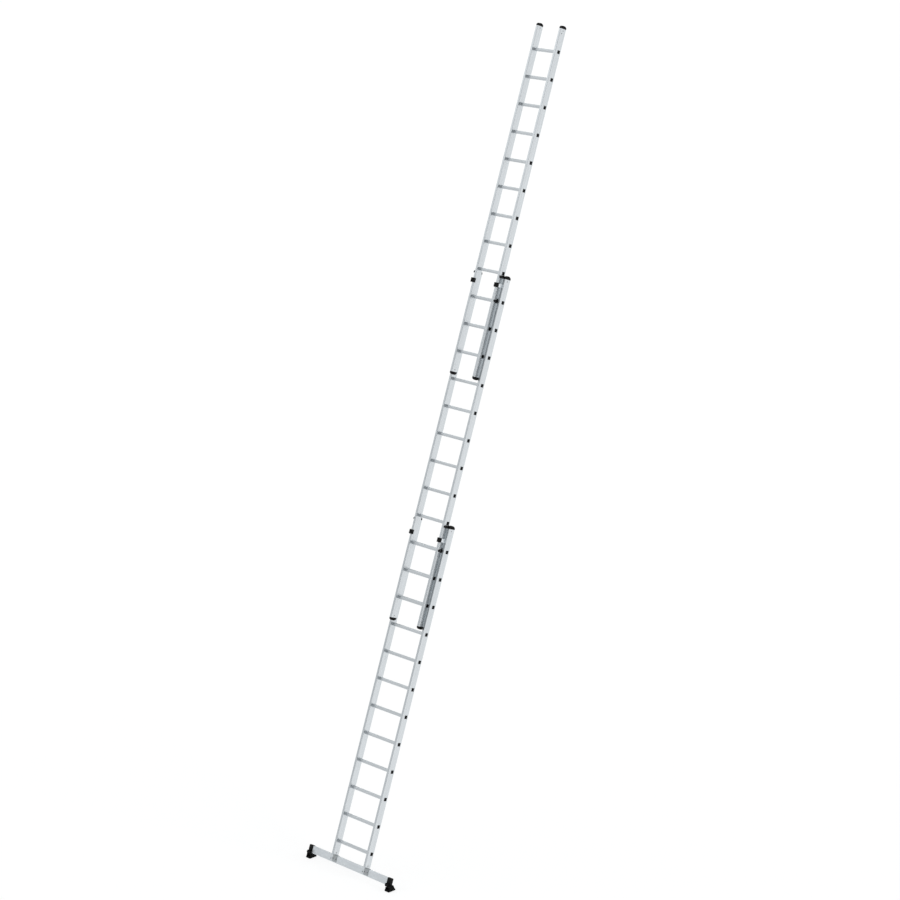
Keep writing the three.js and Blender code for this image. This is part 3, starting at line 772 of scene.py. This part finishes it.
for side, sign in SIDES:
    centre = sign * (WIDTHS[0] - STRINGER_X) / 2
    mid = centre + SADDLE_SHIFT
    front, rear = BAR_FRONT, BAR_FRONT + BAR_DEPTH
    low, high = BAR_TOP - BAR_HEIGHT + SADDLE_LIFT, BAR_TOP
    # Folded sheet, as (y, z): up the front, over the top, down the rear.
    outer = [(front - SHEET, low), (front - SHEET, high + SHEET), (rear + SHEET, high + SHEET),
             (rear + SHEET, low)]
    inner = [(rear + SEAM, low), (rear + SEAM, high + SEAM), (front - SEAM, high + SEAM),
             (front - SEAM, low)]
    fold = (outer + inner)[::-1]
    bm = bmesh.new()
    loft(bm, [(fold, mid - SADDLE_HALF), (fold, mid + SADDLE_HALF)], "x")
    bevelled(bm, SADDLE_ROUNDING, 3)
    tongue_x = STRINGER_X / 2 - STRINGER_WALL - GAP
    block = rounded_outline(2 * tongue_x, BAR_DEPTH, 0.002, 3, (centre, BAR_MID_Y))
    loft(bm, [(block, high + SHEET - SEAM), (block, high + TONGUE)], "z")
    finish_mesh(f"{side}_saddle", bm, ground, SADDLE_LOOK, "bottom_section")
    tab_x = mid - SADDLE_HALF - TAB
    tab_z = BAR_MID_Z - TAB_DROP
    plate = rounded_outline(2 * TAB_HALF, TAB + TAB_BITE, 0.005, 4,
                            (tab_z, tab_x + (TAB + TAB_BITE) / 2))
    bm = bmesh.new()
    pillow(bm, plate, "y", front - SEAM, front - SHEET + SEAM, 0.0008)
    finish_mesh(f"{side}_saddle_tab", bm, ground, TAB_LOOK, "bottom_section")
    bm = bmesh.new()
    for x in (mid - SADDLE_BOLT_HALF, mid + SADDLE_BOLT_HALF):
        rivet(bm, "y", (BAR_MID_Z, x), front - SHEET, -1, *SADDLE_BOLT)
        rivet(bm, "y", (BAR_MID_Z, x), rear + SHEET, 1, *SADDLE_BOLT)
    rivet(bm, "y", (tab_z, tab_x + TAB_RIVET_INSET), front - SHEET + SEAM, -1, *TAB_RIVET)
    finish_mesh(f"{side}_saddle_bolts", bm, ground, RIVET_LOOK, "bottom_section")

# ---------------------------------------------------------------- floor, lights, camera


FLOOR_GREY = 0.22
FLOOR_GLOW = 0.80
FLOOR_RADIUS = 420
FLOOR_DROP = 0.0005


def floor_material():
    """Pale studio floor with a faint mottle, which glows so that its shadows stay soft."""
    n = Nodes("floor_look")
    place = n.add("ShaderNodeTexCoord").outputs["Object"]
    mottle = n.noise(place, 0.6, 3.0)
    n.shader.inputs["Emission Color"].default_value = (1.0, 1.0, 1.0, 1)
    n.shader.inputs["Emission Strength"].default_value = FLOOR_GLOW
    tone = n.ramp(mottle, [(0.2, grey(FLOOR_GREY * 0.99)), (0.8, grey(FLOOR_GREY))])
    return n.done(tone, n.spread(mottle, 0.9, 0.95), n.bump(mottle, 0.02, 0.001))


bm = bmesh.new()
bmesh.ops.create_circle(bm, cap_ends=True, segments=96, radius=FLOOR_RADIUS)
mesh = bpy.data.meshes.new("floor")
bm.to_mesh(mesh)
bm.free()
mesh.materials.append(floor_material())
floor = bpy.data.objects.new("floor", mesh)
floor.location.z = -FLOOR_DROP
bpy.context.scene.collection.objects.link(floor)

# The room is bright, with a dim side at the front right, which the metal reflects.
DIM_SIDE = Vector((0.72, -0.66, 0.10)).normalized()
ROOM_STOPS = [(0.55, (0.60, 0.615, 0.625, 1)), (0.90, (0.27, 0.28, 0.29, 1))]

world = bpy.data.worlds.new("studio")
world.use_nodes = True
room = world.node_tree
facing = room.nodes.new("ShaderNodeTexCoord").outputs["Generated"]
towards_dim = room.nodes.new("ShaderNodeVectorMath")
towards_dim.operation = "DOT_PRODUCT"
room.links.new(facing, towards_dim.inputs[0])
towards_dim.inputs[1].default_value = DIM_SIDE
shade = room.nodes.new("ShaderNodeValToRGB")
room.links.new(towards_dim.outputs["Value"], shade.inputs["Fac"])
for element, (position, colour) in zip(shade.color_ramp.elements, ROOM_STOPS):
    element.position = position
    element.color = colour
room.links.new(shade.outputs["Color"], room.nodes["Background"].inputs["Color"])
room.nodes["Background"].inputs["Strength"].default_value = 1.0
bpy.context.scene.world = world


def sun(name, towards, strength, angle):
    """Wide soft sun that shines from the direction given."""
    light = bpy.data.lights.new(name, "SUN")
    light.energy = strength
    light.angle = math.radians(angle)
    lamp = bpy.data.objects.new(name, light)
    lamp.rotation_euler = Vector(towards).to_track_quat("Z", "Y").to_euler()
    bpy.context.scene.collection.objects.link(lamp)


sun("key", towards=(0.85, 0.25, 0.75), strength=0.80, angle=25)
sun("fill", towards=(-0.5, -0.7, 0.9), strength=0.5, angle=60)

CAMERA_PLACE = Vector((20.153, -18.186, 11.960))
CAMERA_RIGHT = Vector((0.7005, 0.7136, -0.0023))
CAMERA_AHEAD = Vector((-0.6881, 0.6746, -0.2675))
CAMERA_LENS = 117.88
CAMERA_SHIFT = (-0.01242, -0.00619)
CAMERA_REACH = 2000

ahead = CAMERA_AHEAD.normalized()
right = (CAMERA_RIGHT - ahead * CAMERA_RIGHT.dot(ahead)).normalized()
up = right.cross(ahead)
camera_data = bpy.data.cameras.new("camera")
camera_data.sensor_width = 36
camera_data.lens = CAMERA_LENS
camera_data.shift_x, camera_data.shift_y = CAMERA_SHIFT
camera_data.clip_end = CAMERA_REACH
camera = bpy.data.objects.new("camera", camera_data)
camera.matrix_world = Matrix.Translation(CAMERA_PLACE) @ Matrix(
    (right, up, -ahead)).transposed().to_4x4()
bpy.context.scene.collection.objects.link(camera)
bpy.context.scene.camera = camera
bpy.context.scene.view_settings.view_transform = "Standard"
